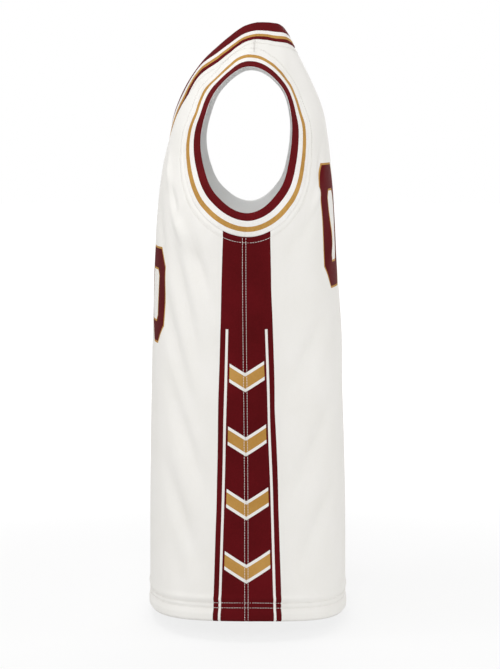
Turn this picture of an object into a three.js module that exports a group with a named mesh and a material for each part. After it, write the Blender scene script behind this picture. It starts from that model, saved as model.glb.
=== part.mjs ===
// Sleeveless V-neck basketball jersey, filled out as if it were worn.
// Millimetres, +Z up, the front faces -Y and the wearer's left is +X.
// The origin lies on the middle plane, level with the shoulders that carry the straps.

import * as THREE from "three";
import { mergeVertices } from "three/addons/utils/BufferGeometryUtils.js";

// Driving sizes
const cloth = 1.4; // wall of the knitted mesh
const hemDepth = 25; // the lower edge is turned up this far
const hemExtra = 1.0; // what the turned-up layer adds inside
const ribCloth = 2.0; // the trim is rib, two layers
const ribProud = 0.5; // the trim's face stands off the panels' face by this
const trimWidth = 31;
const seamGap = 0.3;
const neckHalfWidth = 87; // at the shoulder line
const hemFrontZ = -774; // the hem dips at the middle of the front and the back
const hemBackZ = -779;
const hemSideZ = -756;
const frontCrossZ = -300; // middle front, on the row that ends at the underarm
const backCrossZ = -290; // middle back, on the same row

// Body sections from below the hem to the shoulder line: the middle front, the middle
// back, the half width that the whole ring has there and how far it is squared.
const bodyRows = [
  { z: -790, front: -136, back: 136.5, side: 217, square: 0.022 },
  { z: -716, front: -135.8, back: 136, side: 216, square: 0.022 },
  { z: -600, front: -135.2, back: 135, side: 215, square: 0.022 },
  { z: -480, front: -133.5, back: 131.5, side: 214, square: 0.022 },
  { z: -370, front: -131, back: 126.5, side: 214, square: 0.022 },
  { z: -293, front: -127.8, back: 122.3, side: 214.5, square: 0.022 },
  { z: -233, front: -124.5, back: 119.3, side: 213, square: 0.024 },
  { z: -184, front: -119.2, back: 115.9, side: 200, square: 0.028 },
  { z: -130, front: -109.7, back: 110.5, side: 181, square: 0.034 },
  { z: -86, front: -98, back: 102.3, side: 170, square: 0.042 },
  { z: -52, front: -81.6, back: 88.5, side: 169, square: 0.05 },
  { z: -25, front: -61.8, back: 75, side: 182, square: 0.058 },
  { z: -2, front: -40.5, back: 63.2, side: 199, square: 0.064 },
  { z: 18, front: -23.5, back: 52.5, side: 215, square: 0.068 },
  { z: 33, front: -9.8, back: 40.5, side: 228, square: 0.07 },
  { z: 42.5, front: 1.5, back: 30, side: 236, square: 0.07 },
  { z: 47.3, front: 15.5, back: 15.5, side: 240, square: 0.07 },
];
const slopeStart = 70; // the shoulders fall away from here outwards
const slopeSoftness = 7;
const slopeRate = 1.12;
const slopeEase = 0.0032;
const slopeFromZ = -235; // the fall and the forward lean fade in above this height
const forwardLean = 0.05;
const leanSoftness = 30;

// Neck edge seen from above, from the middle front to the middle back
const neckPlan = [
  { x: 0, y: -99 },
  { x: 27, y: -81.5 },
  { x: 52, y: -58.8 },
  { x: 70, y: -37.5 },
  { x: 82, y: -14 },
  { x: neckHalfWidth, y: 14 },
  { x: 81, y: 28.5 },
  { x: 63, y: 42.5 },
  { x: 34, y: 48.3 },
  { x: 0, y: 49.3 },
];
const shoulderIndex = 5; // the row of neckPlan on the shoulder line

// Armhole edge seen from the side: its reach from the hole's middle, counted
// anticlockwise from straight back
const armholeMiddle = { y: 3, z: -128 };
const armholeRows = [
  { angle: 0, reach: 56.3 },
  { angle: 30, reach: 64.4 },
  { angle: 60, reach: 83.1 },
  { angle: 90, reach: 96.2 },
  { angle: 120, reach: 80.6 },
  { angle: 150, reach: 66.7 },
  { angle: 180, reach: 64.1 },
  { angle: 210, reach: 68.5 },
  { angle: 240, reach: 82.6 },
  { angle: 270, reach: 93.2 },
  { angle: 300, reach: 76.7 },
  { angle: 330, reach: 60.1 },
];

// Soft folds. turn is the place round the body in degrees, 0 at the middle front and
// positive to the wearer's left; lean tilts the fold's top towards a larger turn. The
// first two are the hollows beside the V of the neck, where the trim holds its edge forward.
const folds = [
  { turn: 16, z: -73, lean: 36, length: 220, width: 22, lift: -8.5 },
  { turn: -16, z: -73, lean: -36, length: 220, width: 22, lift: -8.5 },
  { turn: 63, z: -296, lean: -27, length: 200, width: 20, lift: -3.0 },
  { turn: 53, z: -340, lean: -23, length: 300, width: 22, lift: -3.4 },
  { turn: 48, z: -410, lean: -27, length: 300, width: 24, lift: -3.2 },
  { turn: 55, z: -520, lean: -29, length: 280, width: 22, lift: -3.4 },
  { turn: 52, z: -622, lean: -30, length: 230, width: 22, lift: -2.8 },
  { turn: 117, z: -280, lean: 31, length: 180, width: 20, lift: -3.0 },
  { turn: 125, z: -420, lean: 41, length: 230, width: 22, lift: -3.5 },
  { turn: 128, z: -545, lean: 39, length: 240, width: 22, lift: -3.4 },
  { turn: 131, z: -640, lean: 40, length: 200, width: 22, lift: -2.8 },
  { turn: -60, z: -310, lean: 29, length: 210, width: 20, lift: -3.0 },
  { turn: -51, z: -365, lean: 25, length: 290, width: 22, lift: -3.2 },
  { turn: -46, z: -430, lean: 28, length: 300, width: 24, lift: -3.0 },
  { turn: -56, z: -535, lean: 30, length: 270, width: 22, lift: -3.2 },
  { turn: -50, z: -640, lean: 27, length: 220, width: 22, lift: -2.8 },
  { turn: -116, z: -290, lean: -30, length: 180, width: 20, lift: -3.0 },
  { turn: -127, z: -400, lean: -38, length: 230, width: 22, lift: -3.4 },
  { turn: -130, z: -530, lean: -36, length: 240, width: 22, lift: -3.2 },
  { turn: -132, z: -655, lean: -34, length: 190, width: 22, lift: -2.8 },
];
const foldRadius = 175; // unrolls the turn into millimetres
const foldsEnd = { from: 50, to: 10 }; // short of the shoulder line, where the folds die out

// How finely the cloth is divided
const columns = 11; // from the middle line to the side, on each half
const seamRows = 12; // up the side seam
const armRows = 24; // along the armhole, on the front and again on the back
const neckRows = { front: 12, back: 8 };

const white = { color: 0xeeece8, roughness: 0.8, metalness: 0 };
const maroon = { color: 0x611217, roughness: 0.75, metalness: 0 };

const degrees = Math.PI / 180;
const side = 90 * degrees;

const smooth = (t) => {
  const s = Math.min(1, Math.max(0, t));
  return s * s * (3 - 2 * s);
};

// A smooth curve through rows of named values, with knots spaced by measure
function spline(rows, measure) {
  const keys = Object.keys(rows[0]);
  const knots = [0];
  for (let k = 1; k < rows.length; k += 1) {
    knots.push(knots[k - 1] + measure(rows[k - 1], rows[k]));
  }
  const slope = (k, key) => (rows[k + 1][key] - rows[k][key]) / (knots[k + 1] - knots[k]);
  const tangent = (k, key) => {
    if (k === 0) return slope(0, key);
    if (k === rows.length - 1) return slope(k - 1, key);
    const before = knots[k] - knots[k - 1];
    const after = knots[k + 1] - knots[k];
    return (slope(k - 1, key) * after + slope(k, key) * before) / (before + after);
  };
  const tangents = rows.map((row, k) => keys.map((key) => tangent(k, key)));
  const at = (place) => {
    let k = 0;
    while (k < rows.length - 2 && knots[k + 1] <= place) k += 1;
    const span = knots[k + 1] - knots[k];
    const s = (place - knots[k]) / span;
    const result = {};
    keys.forEach((key, n) => {
      result[key] =
        (1 + 2 * s) * (1 - s) ** 2 * rows[k][key] +
        s * (1 - s) ** 2 * span * tangents[k][n] +
        s * s * (3 - 2 * s) * rows[k + 1][key] +
        s * s * (s - 1) * span * tangents[k + 1][n];
    });
    return result;
  };
  return { knots, at };
}

// The form: turn goes round the body, run goes up the front from the lowest section.
// Past the shoulder line the rows come back in turn with front and back exchanged.
const exchange = (row) => ({ ...row, front: row.back, back: row.front });
const exchanged = bodyRows.slice(-3, -1).reverse().map(exchange);
const meridian = spline([...bodyRows, ...exchanged], (p, q) =>
  Math.sqrt((q.z - p.z) ** 2 + ((q.front - p.front) ** 2 + (q.back - p.back) ** 2) / 2)
);
const topRun = meridian.knots[bodyRows.length - 1];
const topZ = bodyRows.at(-1).z;

function shoulderFall(x) {
  const beyond = slopeSoftness * Math.log1p(Math.exp((x - slopeStart) / slopeSoftness));
  return slopeRate * beyond - slopeEase * Math.max(0, x - neckHalfWidth) ** 2;
}

function form(turn, run) {
  const ring = meridian.at(run);
  const x = (ring.side * (Math.sin(turn) + ring.square * Math.sin(3 * turn))) / (1 - ring.square);
  const forward = (Math.cos(turn) - ring.square * Math.cos(3 * turn)) / (1 - ring.square);
  const fade = smooth((ring.z - slopeFromZ) / (topZ - slopeFromZ));
  const lean = forwardLean * (Math.hypot(x, leanSoftness) - leanSoftness);
  const y = (ring.front + ring.back) / 2 - ((ring.back - ring.front) / 2) * forward - fade * lean;
  return new THREE.Vector3(x, y, ring.z - fade * shoulderFall(Math.abs(x)));
}

function partials(turn, run) {
  const turnStep = 1e-4;
  const runStep = 1e-2;
  const byTurn = form(turn + turnStep, run).sub(form(turn - turnStep, run)).divideScalar(2 * turnStep);
  const byRun = form(turn, run + runStep).sub(form(turn, run - runStep)).divideScalar(2 * runStep);
  const normal = byTurn.clone().cross(byRun).normalize();
  return { byTurn, byRun, normal };
}

// How far the folds lift the cloth off the form
function foldLift(turn, z) {
  let lift = 0;
  for (const fold of folds) {
    const apart = turn - fold.turn * degrees;
    const round = foldRadius * Math.atan2(Math.sin(apart), Math.cos(apart));
    const up = z - fold.z;
    const lean = fold.lean * degrees;
    const along = up * Math.cos(lean) + round * Math.sin(lean);
    const across = round * Math.cos(lean) - up * Math.sin(lean);
    const ends = 1 - smooth(Math.abs(along) / (fold.length / 2));
    lift += fold.lift * ends * Math.exp(-((across / fold.width) ** 2));
  }
  return lift;
}

// A point of the cloth, a depth inside its outer face. The folds die out before the shoulder
// seam, so that front and back meet there at one height.
function clothPoint({ turn, run }, depth) {
  const point = form(turn, run);
  const still = smooth((run - topRun + foldsEnd.from) / (foldsEnd.from - foldsEnd.to));
  const lift = (1 - still) * foldLift(turn, point.z);
  return point.addScaledVector(partials(turn, run).normal, lift - depth);
}

function halve(miss, low, high) {
  let [a, b] = [low, high];
  for (let k = 0; k < 50; k += 1) {
    const middle = (a + b) / 2;
    if (miss(middle) > 0) a = middle;
    else b = middle;
  }
  return (a + b) / 2;
}

const levelRun = (turn, z) => halve((run) => z - form(turn, run).z, 0, topRun);

const longestStep = { turn: 0.1, run: 15 };

// The spot on the form with two wanted coordinates, starting from a spot near it
function spotAt(wanted, near) {
  const [first, second] = Object.keys(wanted);
  let { turn, run } = near;
  for (let k = 0; k < 40; k += 1) {
    const here = form(turn, run);
    const { byTurn, byRun } = partials(turn, run);
    const missFirst = wanted[first] - here[first];
    const missSecond = wanted[second] - here[second];
    const spread = byTurn[first] * byRun[second] - byTurn[second] * byRun[first];
    const turnStep = (missFirst * byRun[second] - missSecond * byRun[first]) / spread;
    const runStep = (missSecond * byTurn[first] - missFirst * byTurn[second]) / spread;
    turn += THREE.MathUtils.clamp(turnStep, -longestStep.turn, longestStep.turn);
    run += THREE.MathUtils.clamp(runStep, -longestStep.run, longestStep.run);
  }
  return { turn, run };
}

// Follows the form for a distance from a spot, straight on along its heading, or along
// one of the form's own lines where the spot is held to it
function walk(spot, distance) {
  const steps = 8;
  let { turn, run } = spot;
  const direction = spot.heading.clone();
  for (let k = 0; k < steps; k += 1) {
    const { byTurn, byRun, normal } = partials(turn, run);
    direction.addScaledVector(normal, -direction.dot(normal)).setLength((distance * spot.stretch) / steps);
    const turnSquare = byTurn.dot(byTurn);
    const runSquare = byRun.dot(byRun);
    const shared = spot.heldTo ? 0 : byTurn.dot(byRun);
    const spread = turnSquare * runSquare - shared * shared;
    const alongTurn = (direction.dot(byTurn) * runSquare - direction.dot(byRun) * shared) / spread;
    const alongRun = (direction.dot(byRun) * turnSquare - direction.dot(byTurn) * shared) / spread;
    if (spot.heldTo !== "run") turn += alongTurn;
    if (spot.heldTo !== "turn") run += alongRun;
  }
  return { turn, run };
}

// A spot at the shoulder line, counted up the back instead of the front
const overShoulder = ({ turn, run }) => ({ turn: 2 * side - turn, run: 2 * topRun - run });

const mirrorSpot = (spot) => {
  const heading = spot.heading?.clone().multiply(new THREE.Vector3(-1, 1, 1));
  return { ...spot, turn: -spot.turn, heading };
};

// Gives each spot of an opening's edge its heading, away from the opening on the form
function headAway(spots, closed, spacing) {
  const points = spots.map(({ turn, run }) => form(turn, run));
  const count = points.length;
  const middle = points.reduce((sum, point) => sum.add(point), new THREE.Vector3()).divideScalar(count);
  return spots.map((spot, k) => {
    const before = points[closed ? (k + count - spacing) % count : Math.max(0, k - spacing)];
    const after = points[closed ? (k + spacing) % count : Math.min(count - 1, k + spacing)];
    const along = after.clone().sub(before);
    const heading = along.cross(partials(spot.turn, spot.run).normal).normalize();
    if (heading.dot(points[k].clone().sub(middle)) < 0) heading.negate();
    return { ...spot, heading, stretch: 1 };
  });
}

// Where the trim crosses a seam or the middle line, its section lies along that line,
// which is one where only turn or only run changes
function mitre(spot, heldTo) {
  const { byTurn, byRun } = partials(spot.turn, spot.run);
  const line = (heldTo === "turn" ? byTurn : byRun).normalize();
  if (line.dot(spot.heading) < 0) line.negate();
  spot.stretch = 1 / line.dot(spot.heading);
  spot.heading = line;
  spot.heldTo = heldTo;
}

// Left half of the neck edge, from the point of the V to the middle back
function neckEdge() {
  const beyond = { x: -neckPlan.at(-2).x, y: neckPlan.at(-2).y };
  const plan = spline([...neckPlan, beyond], (p, q) => Math.hypot(q.x - p.x, q.y - p.y));
  const shoulder = plan.knots[shoulderIndex];
  const middleBack = plan.knots[neckPlan.length - 1];
  const spots = [spotAt(neckPlan[0], { turn: 0, run: levelRun(0, -86) })];
  for (let k = 1; k <= neckRows.front; k += 1) {
    spots.push(spotAt(plan.at((shoulder * k) / neckRows.front), spots.at(-1)));
  }
  const offShoulder = (turn) => neckHalfWidth - form(turn, topRun).x;
  spots[neckRows.front] = { turn: halve(offShoulder, 0, side), run: topRun };
  for (let k = 1; k <= neckRows.back; k += 1) {
    const place = shoulder + ((middleBack - shoulder) * k) / neckRows.back;
    const near = k === 1 ? overShoulder(spots.at(-1)) : spots.at(-1);
    spots.push(spotAt(plan.at(place), near));
  }
  const edge = headAway(spots, false, 1);
  mitre(edge[0], "run");
  mitre(edge[neckRows.front], "turn");
  mitre(edge.at(-1), "run");
  return edge;
}

// The left armhole's edge, from the side seam up the front and down the back
function armholeEdge() {
  const wrapped = [
    { ...armholeRows.at(-1), angle: armholeRows.at(-1).angle - 360 },
    ...armholeRows,
    { ...armholeRows[0], angle: 360 },
    { ...armholeRows[1], angle: 360 + armholeRows[1].angle },
  ];
  const outline = spline(wrapped, (p, q) => q.angle - p.angle);
  const reach = (angle) => outline.at(THREE.MathUtils.euclideanModulo(angle, 360) - wrapped[0].angle).reach;
  const angleOf = (p) => Math.atan2(p.z - armholeMiddle.z, p.y - armholeMiddle.y) / degrees;
  const outside = (p) => Math.hypot(p.y - armholeMiddle.y, p.z - armholeMiddle.z) - reach(angleOf(p));
  const topTurn = halve((turn) => outside(form(turn, topRun)), 20 * degrees, 80 * degrees);
  const bottomRun = halve((run) => outside(form(side, run)), levelRun(side, -300), levelRun(side, -150));
  const bottomAngle = angleOf(form(side, bottomRun)) + 360;
  const topAngle = angleOf(form(topTurn, topRun));
  const spots = [{ turn: side, run: bottomRun }];
  for (let k = 1; k < armRows * 2; k += 1) {
    const goal = k <= armRows ? topAngle : bottomAngle - 360;
    const start = k <= armRows ? bottomAngle : topAngle;
    const share = k <= armRows ? k / armRows : k / armRows - 1;
    const angle = start + (goal - start) * share;
    const y = armholeMiddle.y + reach(angle) * Math.cos(angle * degrees);
    const z = armholeMiddle.z + reach(angle) * Math.sin(angle * degrees);
    const near = k === armRows + 1 ? overShoulder(spots.at(-1)) : spots.at(-1);
    spots.push(k === armRows ? { turn: topTurn, run: topRun } : spotAt({ y, z }, near));
  }
  const edge = headAway(spots, true, 3);
  mitre(edge[0], "run");
  mitre(edge[armRows], "turn");
  return edge;
}

// One closed solid from faces of four corners
function solid(name, faces, look) {
  const corners = faces.flatMap(([a, b, c, d]) => [a, b, c, a, c, d]);
  const loose = new THREE.BufferGeometry();
  loose.setAttribute("position", new THREE.Float32BufferAttribute(corners.flatMap((p) => p.toArray()), 3));
  const mesh = new THREE.Mesh(mergeVertices(loose, 1e-3), new THREE.MeshStandardMaterial(look));
  mesh.name = name;
  return mesh;
}

const turned = ([a, b, c, d], over) => (over ? [a, d, c, b] : [a, b, c, d]);
// The same face, split along its other diagonal
const splitAcross = ([a, b, c, d]) => [b, c, d, a];

// The trim's section: how far across from the opening's edge, and how deep in the wall
const trimSection = [
  { across: 1, depth: -ribProud },
  { across: trimWidth / 3, depth: -ribProud },
  { across: (trimWidth * 2) / 3, depth: -ribProud },
  { across: trimWidth, depth: -ribProud },
  { across: trimWidth, depth: ribCloth - ribProud },
  { across: (trimWidth * 2) / 3, depth: ribCloth - ribProud },
  { across: trimWidth / 3, depth: ribCloth - ribProud },
  { across: 1, depth: ribCloth - ribProud },
  { across: 0, depth: ribCloth / 2 - ribProud },
];

function trimRing(name, edge, over, mirroredFrom = edge.length) {
  const rings = edge.map((spot) =>
    trimSection.map(({ across, depth }) => clothPoint(walk(spot, across), depth))
  );
  const faces = rings.flatMap((here, k) => {
    const next = rings[(k + 1) % rings.length];
    return here.map((corner, n) => {
      const m = (n + 1) % here.length;
      const face = turned([corner, here[m], next[m], next[n]], over);
      return k < mirroredFrom ? face : splitAcross(face);
    });
  });
  return solid(name, faces, maroon);
}

const seamSpot = (spot) => walk(spot, trimWidth + seamGap);

// Runs up a line: the hem's depth first, then even steps
function runsUp(from, to, count) {
  const first = from + hemDepth;
  const rest = Array.from({ length: count - 1 }, (_, k) => first + ((to - first) * (k + 1)) / (count - 1));
  return [from, first, ...rest];
}

// A panel from its middle line and neck seam to its side seam and armhole seam. Each row
// leaves the middle level; the hem meets the side level too, and the rows above it slope.
function panel(name, { middleTurn, hemZ, crossZ, neckSeam, armSeam, sideTurn }) {
  const middleRuns = runsUp(levelRun(middleTurn, hemZ), levelRun(middleTurn, crossZ), seamRows);
  const upperRows = armRows - neckSeam.length + 1;
  const neckPoint = neckSeam[0].run;
  for (let k = 1; k < upperRows; k += 1) {
    const cross = middleRuns[seamRows];
    middleRuns.push(cross + ((neckPoint - cross) * k) / upperRows);
  }
  const inner = [...middleRuns.map((run) => ({ turn: middleTurn, run })), ...neckSeam];
  const sideRuns = runsUp(levelRun(sideTurn, hemSideZ), armSeam[0].run, seamRows);
  const outer = [...sideRuns.map((run) => ({ turn: sideTurn, run })), ...armSeam.slice(1)];
  const lastRow = inner.length - 1;
  const openFrom = middleRuns.length;
  const spot = (i, j, sign) => {
    const t = i / columns;
    const turn = THREE.MathUtils.lerp(inner[j].turn, outer[j].turn, t);
    const rise = THREE.MathUtils.lerp(smooth(t), t * t, Math.min(1, j / seamRows));
    return { turn: sign * turn, run: THREE.MathUtils.lerp(inner[j].run, outer[j].run, rise) };
  };
  const faces = [1, -1].flatMap((sign) => {
    const over = sign * (sideTurn - middleTurn) < 0;
    const face = [];
    const back = [];
    for (let j = 0; j <= lastRow; j += 1) {
      const wall = j <= 1 ? cloth + hemExtra : cloth;
      const row = Array.from({ length: columns + 1 }, (_, i) => spot(i, j, sign));
      face.push(row.map((place) => clothPoint(place, 0)));
      back.push(row.map((place) => clothPoint(place, wall)));
    }
    const quads = [];
    for (let i = 0; i < columns; i += 1) {
      for (let j = 0; j < lastRow; j += 1) {
        quads.push([face[j][i], face[j][i + 1], face[j + 1][i + 1], face[j + 1][i]]);
        quads.push([back[j][i], back[j + 1][i], back[j + 1][i + 1], back[j][i + 1]]);
      }
      quads.push([back[0][i], back[0][i + 1], face[0][i + 1], face[0][i]]);
      quads.push([face[lastRow][i], face[lastRow][i + 1], back[lastRow][i + 1], back[lastRow][i]]);
    }
    // Along a seam, the split matches that of the trim's own edge, which runs up the front
    const upFront = middleTurn < sideTurn;
    for (let j = 0; j < lastRow; j += 1) {
      const end = columns;
      const sideEdge = [face[j][end], back[j][end], back[j + 1][end], face[j + 1][end]];
      const neckFace = [back[j][0], face[j][0], face[j + 1][0], back[j + 1][0]];
      quads.push(upFront ? sideEdge : splitAcross(sideEdge));
      if (j >= openFrom) quads.push(upFront ? splitAcross(neckFace) : neckFace);
    }
    return quads.map((quad) => turned(quad, over));
  });
  return solid(name, faces, white);
}

const neckLeft = neckEdge();
const neckRing = [...neckLeft, ...neckLeft.slice(1, -1).reverse().map(mirrorSpot)];
const armLeft = armholeEdge();
const armRight = armLeft.map(mirrorSpot);

// The front and the back stop short of the shoulder line and of the side seam
const shoulderHalfGap = 0.2;
const shoulderRun = topRun - shoulderHalfGap;
const sideHalfGap = seamGap / 2 / partials(side, levelRun(side, hemSideZ)).byTurn.length();
const neckSeam = neckLeft.map(seamSpot);
const armSeam = armLeft.map(seamSpot);
const neckAtShoulder = { turn: neckSeam[neckRows.front].turn, run: shoulderRun };
const armAtShoulder = { turn: armSeam[armRows].turn, run: shoulderRun };
const upTheBack = ({ turn, run }) => ({ turn: 2 * side - turn, run });
const frontNeckSeam = [...neckSeam.slice(0, neckRows.front), neckAtShoulder];
const backNeckSeam = [...neckSeam.slice(neckRows.front + 1).reverse(), upTheBack(neckAtShoulder)];
const frontArmSeam = [...armSeam.slice(0, armRows), armAtShoulder];
const backArmSeam = [armSeam[0], ...armSeam.slice(armRows + 1).reverse(), upTheBack(armAtShoulder)];

const front = panel("front", {
  middleTurn: 0,
  hemZ: hemFrontZ,
  crossZ: frontCrossZ,
  neckSeam: frontNeckSeam,
  armSeam: frontArmSeam,
  sideTurn: side - sideHalfGap,
});
const back = panel("back", {
  middleTurn: 2 * side,
  hemZ: hemBackZ,
  crossZ: backCrossZ,
  neckSeam: backNeckSeam,
  armSeam: backArmSeam,
  sideTurn: side + sideHalfGap,
});

const jersey = new THREE.Group();
jersey.add(front, back);
jersey.add(trimRing("neck_band", neckRing, false, neckLeft.length - 1));
jersey.add(trimRing("armhole_band_left", armLeft, true));
jersey.add(trimRing("armhole_band_right", armRight, false));

export default jersey;
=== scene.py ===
import bpy
import numpy as np
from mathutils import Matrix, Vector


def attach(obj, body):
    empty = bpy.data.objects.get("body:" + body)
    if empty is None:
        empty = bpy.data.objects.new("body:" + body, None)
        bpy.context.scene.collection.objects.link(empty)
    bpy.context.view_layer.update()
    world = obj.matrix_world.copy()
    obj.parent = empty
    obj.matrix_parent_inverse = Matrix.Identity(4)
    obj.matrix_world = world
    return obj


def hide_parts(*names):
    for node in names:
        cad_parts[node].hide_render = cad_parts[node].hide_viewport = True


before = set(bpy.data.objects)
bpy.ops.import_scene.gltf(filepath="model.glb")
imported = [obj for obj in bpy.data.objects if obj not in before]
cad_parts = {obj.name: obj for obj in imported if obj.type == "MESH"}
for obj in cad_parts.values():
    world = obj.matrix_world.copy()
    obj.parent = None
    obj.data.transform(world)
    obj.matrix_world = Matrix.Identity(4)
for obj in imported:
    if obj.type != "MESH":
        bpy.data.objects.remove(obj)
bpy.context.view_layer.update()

# Front and back panels. Each is one piece of smooth polyester knit about 1.4 mm thick, printed
# with its number and half of each side panel before it is cut. The lower edge is turned up
# 25 mm and coverstitched, and the two panels meet at the side seams and on the shoulders.
cloth = 1.4
# Turned-up hem: how far it reaches, the wall it adds, how short the step at its end is, and
# how much thinner the wall gets at the folded edge
hem_turned = 25.0
hem_extra = 1.0
hem_step = 1.5
hem_pinch = 1.2
trim_width = 31.0
neck_half_width = 87.0
# Heights of the hem, and of the middle line where the row from the underarm meets it
hem_z = {"front": -769.0, "back": -774.0, "side": -756.0}
cross_z = {"front": -300.0, "back": -290.0}
side = np.pi / 2  # turn of the side seam, counted from the middle front

# Body sections: height, middle front, middle back, half width, how far the ring is squared
body_rows = np.array([
    (-790, -136, 136.5, 217, 0.022), (-716, -135.8, 136, 216, 0.022),
    (-600, -135.2, 135, 215, 0.022), (-480, -133.5, 131.5, 214, 0.022),
    (-370, -131, 126.5, 214, 0.022), (-293, -127.8, 122.3, 214.5, 0.022),
    (-233, -124.5, 119.3, 213, 0.024), (-184, -119.2, 115.9, 200, 0.028),
    (-130, -109.7, 110.5, 181, 0.034), (-86, -98, 102.3, 170, 0.042),
    (-52, -81.6, 88.5, 169, 0.05), (-25, -61.8, 75, 182, 0.058),
    (-2, -40.5, 63.2, 199, 0.064), (18, -23.5, 52.5, 215, 0.068),
    (33, -9.8, 40.5, 228, 0.07), (42.5, 1.5, 30, 236, 0.07),
    (47.3, 15.5, 15.5, 240, 0.07),
])
# Neck edge seen from above, from the middle front over the shoulder to the middle back
neck_plan = np.array([
    (0, -99), (27, -81.5), (52, -58.8), (70, -37.5), (82, -14), (87, 14),
    (81, 28.5), (63, 42.5), (34, 48.3), (0, 49.3),
])
neck_shoulder = 5
# Armhole edge seen from the side: degrees anticlockwise from straight back, and reach
armhole_middle = np.array([3.0, -128.0])
armhole_reach = np.array([
    (0, 56.3), (30, 64.4), (60, 83.1), (90, 96.2), (120, 80.6), (150, 66.7),
    (180, 64.1), (210, 68.5), (240, 82.6), (270, 93.2), (300, 76.7), (330, 60.1),
])
# Folds: degrees round from the middle front, height, lean of the top, length, width, lift.
# The first two are the hollows beside the V of the neck, where the trim holds its edge
# forward. The long ones hang from the armholes; the short ones pucker the cloth below them.
folds = np.array([
    (15, -84, 30, 190, 18, -9.8), (-15, -84, -30, 190, 18, -9.8),
    (63, -296, -27, 200, 15, -6.0), (53, -340, -23, 300, 16, -6.8),
    (48, -410, -27, 300, 18, -6.4), (55, -520, -29, 280, 16, -6.8),
    (52, -622, -30, 230, 16, -5.6), (117, -280, 31, 180, 15, -6.0),
    (125, -420, 41, 230, 16, -7.0), (128, -545, 39, 240, 16, -6.8),
    (131, -640, 40, 200, 16, -5.6), (-60, -310, 29, 210, 15, -6.0),
    (-51, -365, 25, 290, 16, -6.4), (-46, -430, 28, 300, 18, -6.0),
    (-56, -535, 30, 270, 16, -6.4), (-50, -640, 27, 220, 16, -5.6),
    (-116, -290, -30, 180, 15, -6.0), (-127, -400, -38, 230, 16, -6.8),
    (-130, -530, -36, 240, 16, -6.4), (-132, -655, -34, 190, 16, -5.6),
    (33, -178, -34, 110, 9, 4.2), (40, -205, -38, 90, 8, -4.2),
    (49, -246, -42, 120, 10, 4.4), (60, -285, -36, 110, 9, -3.6),
    (27, -255, -28, 150, 14, -3.0), (147, -166, 33, 110, 9, -4.2),
    (139, -205, 38, 95, 8, 4.2), (130, -243, 42, 120, 10, -4.6),
    (119, -282, 36, 110, 9, 3.6), (155, -262, 26, 150, 14, 3.1),
    (-36, -186, 34, 100, 9, 4.2), (-44, -222, 40, 95, 8, -4.0),
    (-56, -268, 40, 120, 10, 4.0), (-22, -290, 24, 160, 15, -3.0),
    (-145, -176, -34, 105, 9, -4.2), (-136, -214, -40, 90, 8, 4.0),
    (-124, -262, -40, 125, 10, -4.2), (-160, -300, -20, 160, 15, 3.0),
    (12, -420, -14, 220, 20, -3.0), (-14, -470, 10, 240, 22, 2.7),
    (168, -400, 12, 240, 20, 3.0), (-168, -470, -12, 250, 22, -2.7),
    (76, -470, -10, 180, 13, 2.4), (104, -500, 12, 200, 13, -2.7),
    (-78, -500, 12, 190, 13, 2.4), (-104, -470, -12, 190, 13, -2.4),
    (50, -690, -8, 130, 17, -3.0), (112, -700, 8, 130, 17, 3.0),
    (-46, -700, 10, 130, 17, 2.7), (-112, -690, -8, 130, 17, -2.7),
])
# The folds die out between these distances short of the shoulder line
folds_end_from = 50.0
folds_end_to = 10.0


def smooth(t):
    """3t^2 - 2t^3, with t held between 0 and 1."""
    t = np.clip(t, 0.0, 1.0)
    return t * t * (3.0 - 2.0 * t)


def curve(rows, knots):
    """A cubic through the rows. The tangent at a row is the mean of the slopes before and
    after it, each weighted by the length of the other's span."""
    rows = np.asarray(rows, float)
    span = np.diff(knots)[:, None]
    slope = np.diff(rows, axis=0) / span
    inner = (slope[:-1] * span[1:] + slope[1:] * span[:-1]) / (span[:-1] + span[1:])
    tangent = np.vstack([slope[:1], inner, slope[-1:]])

    def at(place):
        k = np.clip(np.searchsorted(knots, place, side="right") - 1, 0, len(knots) - 2)
        s = ((place - knots[k]) / span[k, 0])[..., None]
        return (
            (1 + 2 * s) * (1 - s) ** 2 * rows[k]
            + s * (1 - s) ** 2 * span[k] * tangent[k]
            + s * s * (3 - 2 * s) * rows[k + 1]
            + s * s * (s - 1) * span[k] * tangent[k + 1]
        )

    return at


def lengths(points):
    """Distance along a polyline from its first point to each of its points."""
    return np.concatenate([[0.0], np.cumsum(np.linalg.norm(np.diff(points, axis=0), axis=1))])


# Past the shoulder line the sections come back with front and back exchanged
rings = np.vstack([body_rows, body_rows[[-2, -3]][:, [0, 2, 1, 3, 4]]])
ring_steps = np.diff(rings, axis=0)
ring_runs = np.concatenate([
    [0.0],
    np.cumsum(np.sqrt(ring_steps[:, 0] ** 2 + (ring_steps[:, 1] ** 2 + ring_steps[:, 2] ** 2) / 2)),
])
meridian = curve(rings, ring_runs)
top_run = ring_runs[len(body_rows) - 1]
top_z = body_rows[-1, 0]
# Above this height the shoulders fall away: from this far out, at this rate, with a soft
# start, and less steeply past the neck's half width. They also lean forward further out.
slope_from_z = -235.0
slope_start = 70.0
slope_rate = 1.12
slope_softness = 7.0
slope_ease = 0.0032
forward_lean = 0.05
lean_softness = 30.0


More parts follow.
